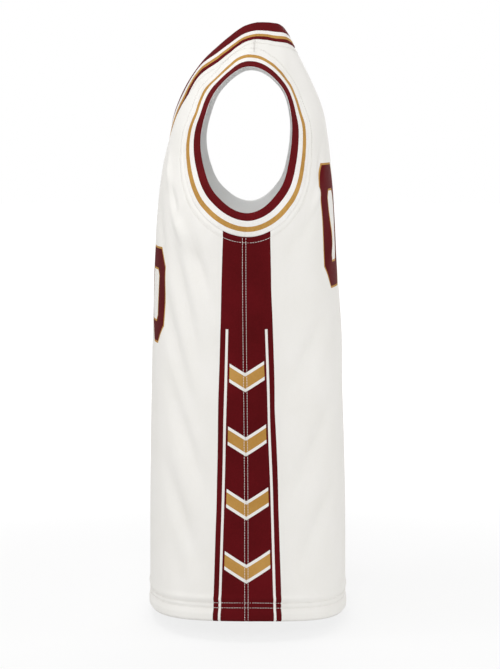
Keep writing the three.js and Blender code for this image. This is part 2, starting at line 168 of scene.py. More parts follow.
def form(turn, run):
    """The body's form. A point goes round a squared ellipse by turn, from the middle front,
    and up by run. Above slope_from_z the shoulders fall away outwards and lean forward."""
    turn, run = np.broadcast_arrays(turn, run)
    z, front, back, half, square = np.moveaxis(meridian(run), -1, 0)
    x = half * (np.sin(turn) + square * np.sin(3 * turn)) / (1 - square)
    forward = (np.cos(turn) - square * np.cos(3 * turn)) / (1 - square)
    fade = smooth((z - slope_from_z) / (top_z - slope_from_z))
    out = np.abs(x)
    fall = slope_rate * slope_softness * np.log1p(np.exp((out - slope_start) / slope_softness))
    fall = fall - slope_ease * np.maximum(0, out - neck_half_width) ** 2
    lean = forward_lean * (np.hypot(x, lean_softness) - lean_softness)
    y = (front + back) / 2 - (back - front) / 2 * forward - fade * lean
    return np.stack([x, y, z - fade * fall], -1)


# Steps of the central differences, in radians and in millimetres
small_turn = 1e-4
small_run = 1e-2


def slopes(turn, run):
    """The form's change for each radian of turn and each millimetre of run, by central
    differences, and the outward normal, which is their cross product."""
    by_turn = (form(turn + small_turn, run) - form(turn - small_turn, run)) / (2 * small_turn)
    by_run = (form(turn, run + small_run) - form(turn, run - small_run)) / (2 * small_run)
    normal = np.cross(by_turn, by_run)
    return by_turn, by_run, normal / np.linalg.norm(normal, axis=-1, keepdims=True)


def bell(distance, width):
    """1 in the middle, and e to the power of -(distance/width)^2 beside it."""
    return np.exp(-((distance / width) ** 2))


fold_radius = 175.0  # turns an angle round the body into millimetres


def fold_lift(turn, z):
    """Sum of the folds: each is a bell across its own line, fading to nothing at its ends."""
    at, height, lean, length, width, lift = folds.T
    lean = np.radians(lean)
    apart = np.asarray(turn)[..., None] - np.radians(at)
    around = fold_radius * np.arctan2(np.sin(apart), np.cos(apart))
    up = np.asarray(z)[..., None] - height
    along = up * np.cos(lean) + around * np.sin(lean)
    across = around * np.cos(lean) - up * np.sin(lean)
    ends = 1 - smooth(np.abs(along) / (length / 2))
    return (lift * ends * bell(across, width)).sum(-1)


def on_cloth(turn, run, lift):
    """The cloth's outer face: the form moved along its normal by the folds and the lift.
    The folds die out before the shoulder seam, so that front and back meet at one height."""
    base = form(turn, run)
    normal = slopes(turn, run)[2]
    still = smooth((run - top_run + folds_end_from) / (folds_end_from - folds_end_to))
    return base + normal * ((1 - still) * fold_lift(turn, base[..., 2]) + lift)[..., None]


def halve(miss, low, high, times=50):
    """Where miss changes from positive to negative between low and high, by halving."""
    for _ in range(times):
        middle = (low + high) / 2
        low, high = (middle, high) if miss(middle) > 0 else (low, middle)
    return (low + high) / 2


def level_run(turn, z):
    """The run at which the form reaches height z at that turn."""
    return halve(lambda run: z - form(turn, run)[2], 0.0, top_run)


def spots_at(wanted, axes, turn, run, times=60, most_turn=0.1, most_run=15.0):
    """Newton's method for the turn and run at which two coordinates of the form have the
    wanted values, in steps of at most most_turn radians and most_run millimetres."""
    for _ in range(times):
        miss = wanted - form(turn, run)[:, axes]
        by_turn, by_run, _ = slopes(turn, run)
        a, b = by_turn[:, axes].T, by_run[:, axes].T
        spread = a[0] * b[1] - a[1] * b[0]
        turn_step = (miss[:, 0] * b[1] - miss[:, 1] * b[0]) / spread
        run_step = (miss[:, 1] * a[0] - miss[:, 0] * a[1]) / spread
        turn = turn + np.clip(turn_step, -most_turn, most_turn)
        run = run + np.clip(run_step, -most_run, most_run)
    return turn, run


def head_away(turn, run, closed, spacing):
    """An opening's edge with a heading at each spot: along the form, square to the edge and
    away from the opening. Edge rows: turn, run, stretch, free to turn, free to run."""
    points = form(turn, run)
    count = len(points)
    index = np.arange(count)
    if closed:
        along = points[(index + spacing) % count] - points[index - spacing]
    else:
        ahead, behind = np.minimum(count - 1, index + spacing), np.maximum(0, index - spacing)
        along = points[ahead] - points[behind]
    heading = np.cross(along, slopes(turn, run)[2])
    heading /= np.linalg.norm(heading, axis=1, keepdims=True)
    inward = ((points - points.mean(0)) * heading).sum(1) < 0
    heading[inward] *= -1
    spots = np.stack([turn, run, np.ones(count), np.ones(count), np.ones(count)], 1)
    return spots, heading


# Spots on an edge: finer times as many as in the solids, which have 12 on the neck edge
# ahead of the shoulder and 8 behind it, and 24 on each half of an armhole's edge. A mitre
# eases the headings over 3 of the solids' spots on each side.
finer = 6
neck_ahead, neck_behind = 12 * finer, 8 * finer
armhole_half = 24 * finer
mitre_reach = 3 * finer
walk_steps = 8


def mitre(edge, k, held, closed=False):
    """Lays the heading at spot k along the form's own line where only turn, or only run,
    changes, eases the headings beside it towards that line, and lengthens their steps so
    that the edge's parallel stays unbroken."""
    spots, heading = edge
    step = np.arange(-mitre_reach, mitre_reach + 1)
    at = k + step
    if closed:
        at = at % len(spots)
    kept = (at >= 0) & (at < len(spots))
    step, at = step[kept], at[kept]
    by_turn, by_run, _ = slopes(spots[at, 0], spots[at, 1])
    line = by_turn if held == "turn" else by_run
    line = line / np.linalg.norm(line, axis=1, keepdims=True)
    straight = (line * heading[at]).sum(1, keepdims=True)
    share = 1 - smooth(np.abs(step) / mitre_reach)[:, None]
    blend = heading[at] * (1 - share) + line / straight * share
    stretch = np.linalg.norm(blend, axis=1)
    spots[at, 2], heading[at] = stretch, blend / stretch[:, None]
    spots[k, 4 if held == "turn" else 3] = 0


def walk(edge, distances):
    """Turn and run at each distance from each spot, in walk_steps steps along its heading,
    which is laid back on the form before each step."""
    spots, start = edge
    turn, run, stretch, free_turn, free_run = (c[:, None] + 0 * distances for c in spots.T)
    heading = start[:, None, :] + 0 * turn[..., None]
    for _ in range(walk_steps):
        by_turn, by_run, normal = slopes(turn, run)
        heading = heading - (heading * normal).sum(-1, keepdims=True) * normal
        heading /= np.linalg.norm(heading, axis=-1, keepdims=True)
        step = heading * (distances * stretch / walk_steps)[..., None]
        turn_square, run_square = (by_turn**2).sum(-1), (by_run**2).sum(-1)
        shared = (by_turn * by_run).sum(-1) * free_turn * free_run
        spread = turn_square * run_square - shared**2
        step_turn, step_run = (step * by_turn).sum(-1), (step * by_run).sum(-1)
        turn = turn + free_turn * (step_turn * run_square - step_run * shared) / spread
        run = run + free_run * (step_run * turn_square - step_turn * shared) / spread
    return turn, run


# Heights near the neck edge's two middles, from which the search for it sets out
neck_near_z = {"front": -86.0, "back": 24.0}


def neck_edge():
    """Left half of the neck edge: the plan's curve laid on the form."""
    rows = np.vstack([neck_plan, neck_plan[-2] * (-1, 1)])
    places = lengths(rows)
    plan = curve(rows, places)
    shoulder, middle_back = places[neck_shoulder], places[len(neck_plan) - 1]
    shoulder_turn = halve(lambda turn: neck_half_width - form(turn, top_run)[0], 0.0, side)
    share = np.arange(neck_ahead) / neck_ahead
    turn_front, run_front = spots_at(
        plan(shoulder * share), [0, 1], shoulder_turn * share,
        level_run(0.0, neck_near_z["front"]) * (1 - share) + top_run * share,
    )
    share = np.arange(1, neck_behind + 1) / neck_behind
    turn_back, run_back = spots_at(
        plan(shoulder + (middle_back - shoulder) * share), [0, 1],
        np.pi - shoulder_turn * (1 - share),
        top_run * (1 - share) + level_run(np.pi, neck_near_z["back"]) * share,
    )
    turn = np.concatenate([turn_front, [shoulder_turn], turn_back])
    run = np.concatenate([run_front, [top_run], run_back])
    edge = head_away(turn, run, False, finer)
    mitre(edge, 0, "run")
    mitre(edge, neck_ahead, "turn")
    mitre(edge, len(turn) - 1, "run")
    return edge, neck_ahead


def armhole_edge():
    """Left armhole's edge: a closed curve of reach by angle in the side view, laid on the
    form from the side seam up the front and down the back."""
    angles = np.concatenate([[-30], armhole_reach[:, 0], [360, 390]])
    reach_at = curve(armhole_reach[[-1, *range(12), 0, 1], 1:], angles)

    def reach(angle):
        return reach_at(np.mod(angle, 360.0))[..., 0]

    def angle_of(point):
        y, z = point[1:] - armhole_middle
        return np.degrees(np.arctan2(z, y))

    def outside(point):
        return np.hypot(*(point[1:] - armhole_middle)) - reach(angle_of(point))

    # Its top is sought on the shoulder line, and its bottom on the side seam
    top_between = np.radians(20), np.radians(80)
    bottom_between = level_run(side, -300), level_run(side, -150)
    top_turn = halve(lambda turn: outside(form(turn, top_run)), *top_between)
    bottom_run = halve(lambda run: outside(form(side, run)), *bottom_between)
    bottom = angle_of(form(side, bottom_run)) + 360
    top = angle_of(form(top_turn, top_run))
    share = np.arange(armhole_half) / armhole_half
    rise, fall = np.sin(side * share), 1 - np.cos(side * share)
    halves = []
    for start, goal, turns, runs, ease in (
        (bottom, top, (side, top_turn), (bottom_run, top_run), rise),
        (top, bottom - 360, (np.pi - top_turn, side), (top_run, bottom_run), fall),
    ):
        angle = start + (goal - start) * share
        arm = np.radians(angle)
        wanted = armhole_middle + reach(angle)[:, None] * np.stack([np.cos(arm), np.sin(arm)], 1)
        halves.append(spots_at(
            wanted, [1, 2], turns[0] + (turns[1] - turns[0]) * smooth(share),
            runs[0] + (runs[1] - runs[0]) * ease,
        ))
    turn = np.concatenate([halves[0][0], halves[1][0]])
    run = np.concatenate([halves[0][1], halves[1][1]])
    turn[[0, armhole_half]], run[[0, armhole_half]] = (side, top_turn), (bottom_run, top_run)
    edge = head_away(turn, run, True, 3 * finer)
    mitre(edge, 0, "run", closed=True)
    mitre(edge, armhole_half, "turn", closed=True)
    return edge, armhole_half


neck, neck_top = neck_edge()
armhole, armhole_top = armhole_edge()


def evenly(turn, run, count):
    """The same line with its spots spaced evenly along the form."""
    along = lengths(form(turn, run))
    place = np.linspace(0, along[-1], count)
    return np.interp(place, along, turn), np.interp(place, along, run)


seam_gap = 0.05  # how far a panel ends short of the trim's edge and of the shoulder line


def seam_line(edge, top, panel, beyond=seam_gap):
    """Where a panel meets the trim, from its lowest spot up to the shoulder line."""
    turn, run = (c[:, 0] for c in walk(edge, np.array([trim_width + beyond])))
    if panel == "front":
        return turn[:top + 1], np.append(run[:top], top_run - seam_gap)
    last = turn[top + 1:][::-1], run[top + 1:][::-1]
    if edge is armhole:
        last = np.append(turn[0], last[0]), np.append(run[0], last[1])
    return np.append(last[0], np.pi - turn[top]), np.append(last[1], top_run - seam_gap)


# Grid of a half panel. Its rows go up the side seam, close together over the hem and wider
# above it, and then up the armhole seam. Inside, some of these last go up the middle line
# and the others up the neck seam. The columns lie closer together towards the side seam.
hem_rows, seam_rows, arm_rows, columns = 32, 110, 96, 72
underarm_row = hem_rows + seam_rows
middle_rows = {"front": arm_rows // 2, "back": arm_rows * 2 // 3}
column_power = 1.3
hem_reach = 38.0
seam_reach = 480.0
side_gap = 2e-5  # half the gap at the side seam, in radians
heights = np.concatenate([
    np.linspace(0, hem_reach, hem_rows + 1),
    np.linspace(hem_reach, seam_reach, seam_rows + 1)[1:],
])
across_share = 1 - (1 - np.linspace(0, 1, columns + 1)) ** column_power


def runs_up(start, end):
    """Runs at the rows' heights, the part above the hem stretched to end at the given run."""
    above = np.maximum(0, heights - hem_reach) / (seam_reach - hem_reach)
    return start + np.minimum(heights, hem_reach) + (end - start - hem_reach) * above


def panel_lines(panel):
    """A half panel's inner line, up the middle and the neck seam, and its outer line, up the
    side seam and the armhole seam. Each row of the panel joins a spot of one to the other."""
    middle, seam_side = (0.0, side - side_gap) if panel == "front" else (np.pi, side + side_gap)
    up_middle = middle_rows[panel]
    neck_turn, neck_run = evenly(*seam_line(neck, neck_top, panel), arm_rows - up_middle + 1)
    arm_turn, arm_run = evenly(*seam_line(armhole, armhole_top, panel), arm_rows + 1)
    cross = level_run(middle, cross_z[panel])
    low = runs_up(level_run(middle, hem_z[panel]), cross)
    rise = cross + (neck_run[0] - cross) * np.arange(1, up_middle) / up_middle
    inner_run = np.concatenate([low, rise, neck_run])
    inner_turn = np.concatenate([np.full(len(low) + len(rise), middle), neck_turn])
    outer_run = np.concatenate([runs_up(level_run(side, hem_z["side"]), arm_run[0]), arm_run[1:]])
    outer_turn = np.concatenate([np.full(len(low), seam_side), arm_turn[1:]])
    return inner_turn, inner_run, outer_turn, outer_run


def panel_rows(lines, row, share):
    """Spots of the given rows at the given shares of the way out. The hem's row meets the
    side level, and the rows above it slope, blending from smooth(t) to t^2."""
    inner_turn, inner_run, outer_turn, outer_run = (line[row] for line in lines)
    up = np.minimum(1, np.append(heights / seam_reach, np.ones(arm_rows)))[row]
    rise = smooth(share) + (share**2 - smooth(share)) * up
    turn = inner_turn + (outer_turn - inner_turn) * share
    return turn, inner_run + (outer_run - inner_run) * rise


# Seam pucker: its height, its fine wave and how that wave drifts, and its broad wave. A wave
# is given in millimetres along the seam for each radian.
pucker = 0.2
fine_wave, fine_drift, drift_wave = 2.9, 1.7, 23.0
broad_wave, broad_share, broad_start = 5.3, 0.7, 2.0


def ripple(along, away, reach=11.0):
    """Seam pucker: a fine wave along the seam whose pitch drifts, and a broad one, both dying
    out away from it."""
    fine = np.sin(along / fine_wave + fine_drift * np.sin(along / drift_wave))
    broad = broad_share * np.sin(along / broad_wave + broad_start)
    return pucker * (fine + broad) * bell(away, reach)


# Relief in millimetres: of the hem by height over its edge, and of the side seam and the
# trim's seam by distance from them. Each form's height or depth comes first, then where it
# lies, and then how wide it is.
hem_stitches = (18.0, 24.6)
hem_puff, puff_rise, puff_end, puff_fall = 1.2, 3.0, 9.0, 7.0
hem_tuck, hem_tuck_width = 0.9, 2.2
hem_groove, hem_groove_width = 0.75, 1.6
hem_swell, swell_at, swell_width = 0.8, 30.5, 3.8
swell_vary, swell_wave = 0.5, 37.0
hem_pucker_at, hem_pucker_reach = 21.0, 13.0
seam_ridge, seam_ridge_at, seam_ridge_width = 0.35, 6.0, 3.0
seam_groove, seam_groove_width = 0.8, 1.5
cover_at = 7.5  # the coverstitch runs this far outside the trim
trim_tuck, trim_tuck_width = 0.6, 1.8
trim_groove, trim_groove_width = 0.4, 1.5
trim_ridge, trim_ridge_at, trim_ridge_width = 0.3, 3.8, 2.0
trim_pucker_rise, trim_pucker_reach = 6.0, 16.0


def hem_lift(height, along):
    """The turned-up hem: a soft puff over the folded edge, which is drawn in, a groove under
    each of the two rows of stitches and a swelling above them, all uneven along the hem."""
    puff = hem_puff * smooth(height / puff_rise) * (1 - smooth((height - puff_end) / puff_fall))
    tuck = hem_tuck * (1 - smooth(height / hem_tuck_width))
    grooves = sum(hem_groove * bell(height - row, hem_groove_width) for row in hem_stitches)
    swell = hem_swell * bell(height - swell_at, swell_width)
    swell = swell * (1 + swell_vary * np.sin(along / swell_wave))
    uneven = ripple(along, np.abs(height - hem_pucker_at), hem_pucker_reach)
    return puff - tuck - grooves + swell + uneven


def side_lift(away, run):
    """Groove and pucker along the side seam, with a low ridge of the seam allowance beside it."""
    ridge = seam_ridge * bell(away - seam_ridge_at, seam_ridge_width)
    return ridge - seam_groove * bell(away, seam_groove_width) + ripple(run, away)


def trim_lift(away, along):
    """Where the panel tucks under the trim's edge, then a low ridge and the groove of the
    coverstitch, with pucker beyond it."""
    tuck = trim_tuck * bell(away, trim_tuck_width)
    groove = trim_groove * bell(away - cover_at, trim_groove_width)
    ridge = trim_ridge * bell(away - trim_ridge_at, trim_ridge_width)
    uneven = ripple(along, np.maximum(0, away - cover_at), trim_pucker_reach)
    return ridge - tuck - groove + uneven * smooth(away / trim_pucker_rise)


def nearest(points, line, spacing=1.2):
    """Distance from each point to the nearest of a line's points, taken spacing apart, and
    how far along the line that is."""
    along = lengths(line)
    place = np.linspace(0, along[-1], int(along[-1] / spacing))
    dense = np.stack([np.interp(place, along, line[:, k]) for k in range(3)], 1)
    flat = points.reshape(-1, 3)
    square = (flat**2).sum(1)[:, None] - 2 * flat @ dense.T + (dense**2).sum(1)
    best = square.argmin(1)
    away = np.sqrt(np.maximum(0, square[np.arange(len(flat)), best]))
    return away.reshape(points.shape[:-1]), place[best].reshape(points.shape[:-1])


def girth(turn, run, start, chords=24):
    """Length along the body's own ring from the start turn to each spot, with its sign."""
    steps = np.linspace(0, 1, chords + 1)
    ring = form(start + (turn[..., None] - start) * steps, run[..., None] + 0 * steps)
    around = np.linalg.norm(np.diff(ring, axis=-2), axis=-1).sum(-1)
    return np.sign(turn - start) * around


microns, metres = 1000, 0.001  # in a millimetre


def make_piece(name, points, faces, materials, looks=None, attribute=None):
    """A closed mesh from points in millimetres and faces of four corners. Points that
    coincide to a micron are joined, and if the volume comes out negative the faces are
    turned round."""
    grain = np.round(points * microns).astype(np.int64)
    _, first, joined = np.unique(grain, axis=0, return_index=True, return_inverse=True)
    points, faces = points[first] * metres, joined.reshape(-1)[faces]
    corner = points[faces]
    volume = (np.cross(corner[:, 1], corner[:, 2]) * corner[:, 0]).sum()
    volume += (np.cross(corner[:, 2], corner[:, 3]) * corner[:, 0]).sum()
    if volume < 0:
        faces = faces[:, ::-1]
    mesh = bpy.data.meshes.new(name)
    mesh.vertices.add(len(points))
    mesh.vertices.foreach_set("co", points.ravel())
    mesh.loops.add(faces.size)
    mesh.loops.foreach_set("vertex_index", faces.ravel())
    mesh.polygons.add(len(faces))
    mesh.polygons.foreach_set("loop_start", np.arange(0, faces.size, 4))
    for material in materials:
        mesh.materials.append(material)
    if looks is not None:
        mesh.polygons.foreach_set("material_index", looks)
    mesh.polygons.foreach_set("use_smooth", np.ones(len(faces), bool))
    if attribute is not None:
        layer = mesh.attributes.new("cloth", "FLOAT_VECTOR", "POINT")
        layer.data.foreach_set("vector", attribute[first].ravel())
    mesh.update()
    mesh.validate()
    piece = bpy.data.objects.new(name, mesh)
    bpy.context.scene.collection.objects.link(piece)
    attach(piece, "root")
    return piece


def linear(colour):
    """sRGB hex to linear: v/12.92 up to 0.04045 and ((v + 0.055)/1.055)^2.4 above it."""
    value = np.array([int(colour[k:k + 2], 16) for k in (0, 2, 4)]) / 255
    value = np.where(value <= 0.04045, value / 12.92, ((value + 0.055) / 1.055) ** 2.4)
    return (*value.tolist(), 1.0)


def add(tree, kind, links=None, **settings):
    """Adds a node. Each input among the links is joined to the socket given, or to the first
    output of the node given, or set to the value given."""
    node = tree.nodes.new("ShaderNode" + kind)
    for name, value in settings.items():
        setattr(node, name, value)
    for slot, value in (links or {}).items():
        if isinstance(value, bpy.types.Node):
            value = value.outputs[0]
        if isinstance(value, bpy.types.NodeSocket):
            tree.links.new(value, node.inputs[slot])
        else:
            node.inputs[slot].default_value = value
    return node


def new_material(name, **settings):
    """A material with one Principled shader whose constant sockets are set here."""
    material = bpy.data.materials.new(name)
    material.use_nodes = True
    tree = material.node_tree
    shader = tree.nodes["Principled BSDF"]
    for slot, value in settings.items():
        shader.inputs[slot.replace("_", " ")].default_value = value
    return material, tree, shader


white_cloth = linear("ECEAE6")
shade_cloth = linear("E9E7E2")
maroon_dye = linear("600B12")
deep_maroon = linear("52070C")
gold_dye = linear("BF924F")
deep_gold = linear("B08340")


# The print, in millimetres. The side panel's half width is given at these two heights. Inside
# it are a thin line and stacked chevrons, gold between white edges, under a plain top.
print_top_z, print_low_z = -256.0, -779.0
line_inset, line_width = 9.0, 3.4
pattern_top_z, pattern_low_z = -372.0, -706.0
chevron_slope, chevron_pitch, chevron_inset = 0.62, 84.0, 13.5
chevron_height, gold_height = 25.0, 16.0
# The number's outline, and its corners cut off at 45 degrees, whose sine is 0.7071
outline_width = 2.6
corner_share = 0.9
corner_sine = 0.7071


def block_zero(tree, across, up, half_width, half_height, stroke):
    """Distance outside the stroke of a block nought: a rectangle with its corners cut off,
    whose own distance d is measured from the middle of the stroke as |d + stroke/2| - stroke/2."""
    wide = add(tree, "Math", {0: across}, operation="ABSOLUTE")
    tall = add(tree, "Math", {0: up}, operation="ABSOLUTE")
    beside = add(tree, "Math", {0: wide, 1: half_width}, operation="SUBTRACT")
    above = add(tree, "Math", {0: tall, 1: half_height}, operation="SUBTRACT")
    flat = add(tree, "Math", {0: beside, 1: above}, operation="MAXIMUM")
    cut_at = half_width + half_height - stroke * corner_share
    cut = add(tree, "Math", {0: wide, 1: tall}, operation="ADD")
    cut = add(tree, "Math", {0: cut, 1: cut_at}, operation="SUBTRACT")
    cut = add(tree, "Math", {0: cut, 1: corner_sine}, operation="MULTIPLY")
    d = add(tree, "Math", {0: flat, 1: cut}, operation="MAXIMUM")
    ring = add(tree, "Math", {0: d, 1: stroke / 2}, operation="ADD")
    ring = add(tree, "Math", {0: ring}, operation="ABSOLUTE")
    return add(tree, "Math", {0: ring, 1: stroke / 2}, operation="SUBTRACT")


def printed_knit(name, side_width, number_z, number_height, digit_width, digit_middle, stroke):
    """Smooth polyester knit with dye printed into it: matt, with the faintest gloss and fine
    wales. Reads cloth = (mm from the middle line, mm from the side seam, mm of z)."""
    material, tree, shader = new_material(
        name, Roughness=0.8, Specular_IOR_Level=0.08, Sheen_Weight=0.01, Sheen_Roughness=0.4,
    )
    cloth_at = add(tree, "Attribute", attribute_name="cloth").outputs["Vector"]
    middle, seam, z = add(tree, "SeparateXYZ", {0: cloth_at}).outputs
    place = add(tree, "TexCoord").outputs["Object"]

    # Printed side panel: straight sides, wider towards the hem
    top_width, low_width = side_width
    half = add(tree, "MapRange", {
        0: z, 1: print_top_z, 2: print_low_z, 3: top_width, 4: low_width,
    })
    in_panel = add(tree, "Math", {0: seam, 1: half}, operation="LESS_THAN")
    # Thin white line inside each edge, below the plain top
    line_at = add(tree, "Math", {0: half, 1: line_inset}, operation="SUBTRACT")
    line = add(tree, "Math", {0: seam, 1: line_at}, operation="SUBTRACT")
    line = add(tree, "Math", {0: line}, operation="ABSOLUTE")
    line = add(tree, "Math", {0: line, 1: line_width / 2}, operation="LESS_THAN")
    below = add(tree, "Math", {0: z, 1: pattern_top_z}, operation="LESS_THAN")
    for limit in (below, in_panel):
        line = add(tree, "Math", {0: line, 1: limit}, operation="MULTIPLY")
    # Stacked chevrons that point down. Level is the height less the rise of their arms, and
    # beat is how far it lies above the foot of the chevron below
    level = add(tree, "Math", {0: seam, 1: chevron_slope}, operation="MULTIPLY")
    level = add(tree, "Math", {0: z, 1: level}, operation="SUBTRACT")
    above = add(tree, "Math", {0: level, 1: pattern_low_z}, operation="GREATER_THAN")
    below = add(tree, "Math", {0: level, 1: pattern_top_z}, operation="LESS_THAN")
    inside = add(tree, "Math", {0: half, 1: chevron_inset}, operation="SUBTRACT")
    inside = add(tree, "Math", {0: seam, 1: inside}, operation="LESS_THAN")
    beat = add(tree, "Math", {0: level, 1: -pattern_low_z}, operation="ADD")
    beat = add(tree, "Math", {0: beat, 1: chevron_pitch, 2: 0.0}, operation="WRAP")
    chevron = add(tree, "Math", {0: beat, 1: chevron_height}, operation="LESS_THAN")
    for limit in (above, below, inside, in_panel):
        chevron = add(tree, "Math", {0: chevron, 1: limit}, operation="MULTIPLY")
    bar = add(tree, "Math", {0: beat, 1: chevron_height / 2}, operation="SUBTRACT")
    bar = add(tree, "Math", {0: bar}, operation="ABSOLUTE")
    bar = add(tree, "Math", {0: bar, 1: gold_height / 2}, operation="LESS_THAN")
    bar = add(tree, "Math", {0: bar, 1: chevron}, operation="MULTIPLY")

    # Plain block number, twice nought, with a gold outline
    across = add(tree, "Math", {0: middle}, operation="ABSOLUTE")
    across = add(tree, "Math", {0: across, 1: digit_middle}, operation="SUBTRACT")
    up = add(tree, "Math", {0: z, 1: number_z}, operation="SUBTRACT")
    digit = block_zero(tree, across, up, digit_width / 2, number_height / 2, stroke)
    fill = add(tree, "Math", {0: digit, 1: 0.0}, operation="LESS_THAN")
    outline = add(tree, "Math", {0: digit, 1: outline_width}, operation="LESS_THAN")

    # Dye and cloth vary a little: patches about 60 mm across, and a fleck of 2.4 mm
    patch = add(tree, "TexNoise", {"Vector": place, "Scale": 16.0, "Detail": 3.0})
    fleck = add(tree, "TexNoise", {"Vector": place, "Scale": 420.0, "Detail": 2.0})
    patch_part = add(tree, "Math", {0: patch, 1: 0.7}, operation="MULTIPLY")
    fleck_part = add(tree, "Math", {0: fleck, 1: 0.3}, operation="MULTIPLY")
    vary = add(tree, "Math", {0: patch_part, 1: fleck_part}, operation="ADD")
    vary = add(tree, "MapRange", {0: vary, 1: 0.35, 2: 0.65})
    white, maroon, gold = (
        add(tree, "Mix", {0: vary, 6: plain, 7: deep}, data_type="RGBA").outputs[2]
        for plain, deep in (
            (white_cloth, shade_cloth), (maroon_dye, deep_maroon), (gold_dye, deep_gold),
        )
    )
    colour = white
    for share, upper in (
        (in_panel, maroon), (line, white), (chevron, white), (bar, gold), (outline, gold),
        (fill, maroon),
    ):
        colour = add(tree, "Mix", {0: share, 6: colour, 7: upper}, data_type="RGBA").outputs[2]
    tree.links.new(colour, shader.inputs["Base Color"])

    # Wales 1.6 mm apart and courses 1.3 mm apart, about twice real size so that they show,
    # with the fleck between them, raised by 0.12 mm
    wale = add(tree, "Math", {0: seam, 1: 2 * np.pi / 1.6}, operation="MULTIPLY")
    wale = add(tree, "Math", {0: wale}, operation="SINE")
    course = add(tree, "Math", {0: z, 1: 2 * np.pi / 1.3}, operation="MULTIPLY")
    course = add(tree, "Math", {0: course}, operation="SINE")
    loops = add(tree, "Math", {0: wale, 1: course}, operation="MULTIPLY")
    rough = add(tree, "Math", {0: fleck, 1: 1.5}, operation="MULTIPLY")
    loops = add(tree, "Math", {0: loops, 1: rough}, operation="ADD")
    knit = add(tree, "Bump", {"Strength": 0.35, "Distance": 0.00012, "Height": loops})
    tree.links.new(knit.outputs[0], shader.inputs["Normal"])
    return material


def knit_reverse():
    """The unprinted inside of the knit: the same yarn, duller and a little greyer. It is thin
    enough for light from outside to glow through, which brightens the hollow."""
    material, tree, shader = new_material(
        "polyester knit reverse", Roughness=0.85, Specular_IOR_Level=0.15,
        Subsurface_Weight=0.85, Subsurface_Radius=(1.0, 1.0, 1.0), Subsurface_Scale=0.004,
    )
    place = add(tree, "TexCoord").outputs["Object"]
    # Patches about 45 mm across, and loops of 1.4 mm, about twice real size so that they
    # show, raised by 0.2 mm
    patch = add(tree, "TexNoise", {"Vector": place, "Scale": 22.0, "Detail": 3.0})
    yarn, shade = linear("ECECEB"), linear("E4E4E3")
    colour = add(tree, "Mix", {0: patch, 6: yarn, 7: shade}, data_type="RGBA").outputs[2]
    tree.links.new(colour, shader.inputs["Base Color"])
    loops = add(tree, "TexNoise", {"Vector": place, "Scale": 700.0, "Detail": 2.0})
    knit = add(tree, "Bump", {"Strength": 0.3, "Distance": 0.0002, "Height": loops})
    tree.links.new(knit.outputs[0], shader.inputs["Normal"])
    return material


reverse_cloth = knit_reverse()

well_above = 1000.0  # stands for the height of the rows above the underarm, far from the hem
side_fade = 12.0  # the side seam's relief dies out over this much above the underarm


def make_panel(panel, material):
    """A panel from two half grids, each with an outer face, an inner face one wall below it
    and closed edges. The wall is thicker where the hem is turned up."""
    lines = panel_lines(panel)
    row = np.arange(len(lines[0]))[:, None]
    turn, run = panel_rows(lines, row, across_share[None, :])
    base = form(turn, run)
    middle_turn = 0.0 if panel == "front" else np.pi
    from_middle = girth(turn, run, middle_turn) * (1 if panel == "front" else -1)
    from_side = np.abs(girth(turn, run, side))
    height = np.append(heights, np.full(arm_rows, well_above))[:, None] + 0 * turn
    arm_away, arm_along = nearest(base, form(*seam_line(armhole, armhole_top, panel)))
    neck_away, neck_along = nearest(base, form(*seam_line(neck, neck_top, panel)))
    low = 1 - smooth((run - lines[3][underarm_row]) / side_fade)
    lift = hem_lift(height, from_side) + side_lift(from_side, run) * low
    lift = lift + trim_lift(arm_away, arm_along) + trim_lift(neck_away, neck_along)
    doubled = 1 - smooth((height - (hem_turned - hem_step)) / hem_step)
    wall = cloth + hem_extra * doubled - hem_pinch * (1 - smooth(height / hem_step))
    rows, cols = turn.shape
    number = np.arange(rows * cols).reshape(rows, cols)
    neck_row = rows - 1 - (arm_rows - middle_rows[panel])
    points, faces, looks, marks = [], [], [], []
    for sign in (1, -1):
        start = sum(len(p) for p in points)
        outer = on_cloth(sign * turn, run, lift)
        inner = on_cloth(sign * turn, run, lift - wall)
        points += [outer.reshape(-1, 3), inner.reshape(-1, 3)]
        mark = np.stack([sign * from_middle, from_side, outer[..., 2]], -1).reshape(-1, 3)
        marks += [mark, mark]
        a, b, a_look, b_look = number + start, number + start + rows * cols, 0, 1
        if sign < 0:
            a, b, a_look, b_look = b, a, 1, 0
        # The two faces, then the edges: hem, shoulder, side and armhole, and neck
        for look, *corners in (
            (a_look, a[:-1, :-1], a[1:, :-1], a[1:, 1:], a[:-1, 1:]),
            (b_look, b[:-1, :-1], b[:-1, 1:], b[1:, 1:], b[1:, :-1]),
            (0, a[0, :-1], a[0, 1:], b[0, 1:], b[0, :-1]),
            (0, b[-1, :-1], b[-1, 1:], a[-1, 1:], a[-1, :-1]),
            (0, a[:-1, -1], a[1:, -1], b[1:, -1], b[:-1, -1]),
            (0, b[neck_row:-1, 0], b[neck_row + 1:, 0], a[neck_row + 1:, 0], a[neck_row:-1, 0]),
        ):
            quads = np.stack(corners, -1).reshape(-1, 4)
            faces.append(quads)
            looks.append(np.full(len(quads), look))
    piece = make_piece(
        f"{panel}_panel", np.concatenate(points), np.concatenate(faces), [material, reverse_cloth],
        np.concatenate(looks), np.concatenate(marks),
    )
    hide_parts(panel)
    return piece, lines


front_panel, front_lines = make_panel("front", printed_knit(
    "printed polyester knit, front", side_width=(28.0, 46.0), number_z=-336.0,
    number_height=124.0, digit_width=108.0, digit_middle=74.0, stroke=26.0,
))
back_panel, back_lines = make_panel("back", printed_knit(
    "printed polyester knit, back", side_width=(34.5, 47.5), number_z=-243.0,
    number_height=162.0, digit_width=112.0, digit_middle=76.0, stroke=32.0,
))

